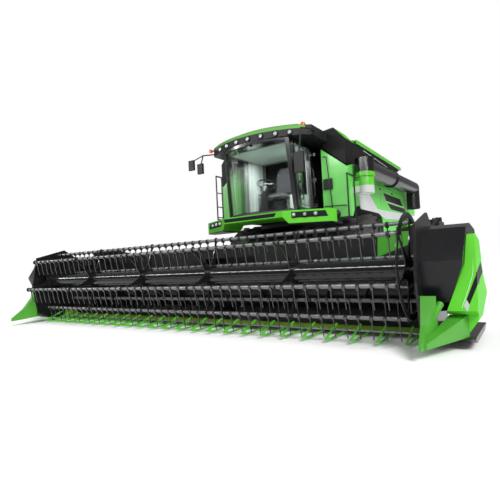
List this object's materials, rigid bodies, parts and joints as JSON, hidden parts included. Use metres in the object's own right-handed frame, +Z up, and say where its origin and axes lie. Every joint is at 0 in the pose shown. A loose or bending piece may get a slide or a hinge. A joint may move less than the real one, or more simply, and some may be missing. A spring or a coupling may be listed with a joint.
{
  "type": "combine harvester",
  "caption": "Combine harvester with cab, grain tank, folded unloading auger and a wide grain header with a tined reel.",
  "frame": {"origin": "on the ground, at the centre of the whole machine's bounding box", "axes": "-Y is the way the machine faces, +X is its own left side, +Z is up"},
  "size_m": [8.25, 10.5, 3.8306],
  "materials": {
    "green_paint": "gloss",
    "black_paint": "satin",
    "frame_paint": "satin",
    "rim_paint": "satin",
    "tyre_rubber": "matt",
    "bare_steel": "worn",
    "cab_glass": "clear",
    "dark_plastic": "grained",
    "grey_plastic": "grained",
    "seat_fabric": "woven",
    "lamp_lens": "clear",
    "amber_lens": "gloss",
    "mirror_housing": "gloss"
  },
  "bodies": {
    "chassis": {"chassis_frame": "frame_paint", "thresher_housing": "frame_paint", "engine_block": "frame_paint", "side_panel_left": "green_paint", "side_panel_right": "green_paint", "grain_tank": "black_paint", "engine_deck": "black_paint", "rear_hood": "green_paint", "chopper_housing": "black_paint", "cab_shell": "black_paint", "cab_glass": "cab_glass", "roof_band": "dark_plastic", "roof_crest": "green_paint", "cab_apron": "green_paint", "walkway": "black_paint", "mirrors": "mirror_housing", "lamps": "lamp_lens", "beacons": "amber_lens", "cab_seat": "seat_fabric", "driver_controls": "dark_plastic", "unload_turret": "black_paint", "front_axle": "frame_paint", "rear_axle": "frame_paint"},
    "front_wheel_left": {"front_tyre_left": "tyre_rubber", "front_rim_left": "rim_paint"},
    "front_wheel_right": {"front_tyre_right": "tyre_rubber", "front_rim_right": "rim_paint"},
    "steer_knuckle_left": {"knuckle_left": "frame_paint"},
    "steer_knuckle_right": {"knuckle_right": "frame_paint"},
    "rear_wheel_left": {"rear_tyre_left": "tyre_rubber", "rear_rim_left": "rim_paint"},
    "rear_wheel_right": {"rear_tyre_right": "tyre_rubber", "rear_rim_right": "rim_paint"},
    "header": {"feeder_house": "black_paint", "header_frame": "black_paint", "knife_bar": "bare_steel", "crop_lifters": "green_paint", "divider_noses": "green_paint", "end_covers": "green_paint", "end_guards": "black_paint"},
    "lift_barrel": {"lift_barrels": "frame_paint"},
    "lift_rod": {"lift_rods": "bare_steel"},
    "intake": {"intake_auger": "black_paint"},
    "reel_carrier": {"reel_arms": "black_paint"},
    "reel": {"reel_core": "black_paint"},
    "reel_guide": {"reel_ring": "black_paint"},
    "unload_tube": {"unload_auger": "black_paint"},
    "tank_lid_left": {"tank_cover_left": "green_paint"},
    "tank_lid_right": {"tank_cover_right": "green_paint"},
    "door": {"cab_door": "black_paint", "door_glass": "cab_glass"},
    "ladder_frame": {"ladder": "black_paint"},
    "screen": {"dust_screen": "black_paint"},
    "bat_1": {"reel_bat_1": "black_paint"},
    "bat_2": {"reel_bat_2": "black_paint"},
    "bat_3": {"reel_bat_3": "black_paint"},
    "bat_4": {"reel_bat_4": "black_paint"},
    "bat_5": {"reel_bat_5": "black_paint"},
    "bat_6": {"reel_bat_6": "black_paint"}
  },
  "joints": [
    {"name": "front_wheel_left_spin", "type": "hinge", "parent": "chassis", "child": "front_wheel_left", "pos_m": [1.4, -0.1, 0.97], "axis": [1, 0, 0], "continuous": true},
    {"name": "steer_left", "type": "hinge", "parent": "chassis", "child": "steer_knuckle_left", "pos_m": [1.06, 3.7, 0.74], "axis": [0, 0, 1], "range_deg": [-35, 35]},
    {"name": "rear_wheel_left_spin", "type": "hinge", "parent": "steer_knuckle_left", "child": "rear_wheel_left", "pos_m": [1.4, 3.7, 0.7], "axis": [1, 0, 0], "continuous": true},
    {"name": "front_wheel_right_spin", "type": "hinge", "parent": "chassis", "child": "front_wheel_right", "pos_m": [-1.4, -0.1, 0.97], "axis": [1, 0, 0], "continuous": true},
    {"name": "steer_right", "type": "hinge", "parent": "chassis", "child": "steer_knuckle_right", "pos_m": [-1.06, 3.7, 0.74], "axis": [0, 0, 1], "range_deg": [-35, 35]},
    {"name": "rear_wheel_right_spin", "type": "hinge", "parent": "steer_knuckle_right", "child": "rear_wheel_right", "pos_m": [-1.4, 3.7, 0.7], "axis": [1, 0, 0], "continuous": true},
    {"name": "header_lift", "type": "hinge", "parent": "chassis", "child": "header", "pos_m": [0, -0.9, 1.55], "axis": [-1, 0, 0], "range_deg": [0, 18]},
    {"name": "lift_barrel_swing", "type": "hinge", "parent": "chassis", "child": "lift_barrel", "pos_m": [0, -0.33, 0.78], "axis": [-1, 0, 0], "range_deg": [0, 13.39]},
    {"name": "lift_rod_slide", "type": "slide", "parent": "lift_barrel", "child": "lift_rod", "axis": [0, -0.9964, -0.0851], "range_m": [0, 0.2439]},
    {"name": "intake_spin", "type": "hinge", "parent": "header", "child": "intake", "pos_m": [0, -3.46, 0.51], "axis": [1, 0, 0], "continuous": true},
    {"name": "reel_lift", "type": "hinge", "parent": "header", "child": "reel_carrier", "pos_m": [0, -3.09, 1.42], "axis": [-1, 0, 0], "range_deg": [0, 25]},
    {"name": "reel_spin", "type": "hinge", "parent": "reel_carrier", "child": "reel", "pos_m": [0, -4.5, 0.82], "axis": [1, 0, 0], "continuous": true},
    {"name": "reel_guide_spin", "type": "hinge", "parent": "reel_carrier", "child": "reel_guide", "pos_m": [0, -4.59, 0.86], "axis": [1, 0, 0], "continuous": true},
    {"name": "bat_1_turn", "type": "hinge", "parent": "reel", "child": "bat_1", "pos_m": [0, -4.88184, 1.20184], "axis": [1, 0, 0], "continuous": true},
    {"name": "bat_2_turn", "type": "hinge", "parent": "reel", "child": "bat_2", "pos_m": [0, -5.0216, 0.68024], "axis": [1, 0, 0], "continuous": true},
    {"name": "bat_3_turn", "type": "hinge", "parent": "reel", "child": "bat_3", "pos_m": [0, -4.63976, 0.2984], "axis": [1, 0, 0], "continuous": true},
    {"name": "bat_4_turn", "type": "hinge", "parent": "reel", "child": "bat_4", "pos_m": [0, -4.11816, 0.43816], "axis": [1, 0, 0], "continuous": true},
    {"name": "bat_5_turn", "type": "hinge", "parent": "reel", "child": "bat_5", "pos_m": [0, -3.9784, 0.95976], "axis": [1, 0, 0], "continuous": true},
    {"name": "bat_6_turn", "type": "hinge", "parent": "reel", "child": "bat_6", "pos_m": [0, -4.36024, 1.3416], "axis": [1, 0, 0], "continuous": true},
    {"name": "unload_swing", "type": "hinge", "parent": "chassis", "child": "unload_tube", "pos_m": [1.85, -0.82, 2.83], "axis": [0, 0, -1], "range_deg": [0, 100]},
    {"name": "tank_lid_left_fold", "type": "hinge", "parent": "chassis", "child": "tank_lid_left", "pos_m": [1.6053, 0, 3.46], "axis": [0, 1, 0], "range_deg": [0, 100]},
    {"name": "tank_lid_right_fold", "type": "hinge", "parent": "chassis", "child": "tank_lid_right", "pos_m": [-1.6053, 0, 3.46], "axis": [0, -1, 0], "range_deg": [0, 100]},
    {"name": "door_swing", "type": "hinge", "parent": "chassis", "child": "door", "pos_m": [0.915, -1.212, 2.67], "axis": [0, 0, 1], "range_deg": [0, 80]},
    {"name": "ladder_swing", "type": "hinge", "parent": "chassis", "child": "ladder_frame", "pos_m": [1.885, -1.53, 1.65], "axis": [0, 0, -1], "range_deg": [0, 90]},
    {"name": "screen_spin", "type": "hinge", "parent": "chassis", "child": "screen", "pos_m": [-1.64, 3.65, 2.6], "axis": [1, 0, 0], "continuous": true}
  ],
  "couplings": [
    {"joint": "steer_right", "follows": "steer_left", "ratio": 1},
    {"joint": "lift_barrel_swing", "follows": "header_lift", "ratio": 0.72706},
    {"joint": "lift_rod_slide", "follows": "header_lift", "m_per_rad": 0.7668},
    {"joint": "reel_guide_spin", "follows": "reel_spin", "ratio": 1},
    {"joint": "bat_1_turn", "follows": "reel_spin", "ratio": -1},
    {"joint": "bat_2_turn", "follows": "reel_spin", "ratio": -1},
    {"joint": "bat_3_turn", "follows": "reel_spin", "ratio": -1},
    {"joint": "bat_4_turn", "follows": "reel_spin", "ratio": -1},
    {"joint": "bat_5_turn", "follows": "reel_spin", "ratio": -1},
    {"joint": "bat_6_turn", "follows": "reel_spin", "ratio": -1}
  ]
}
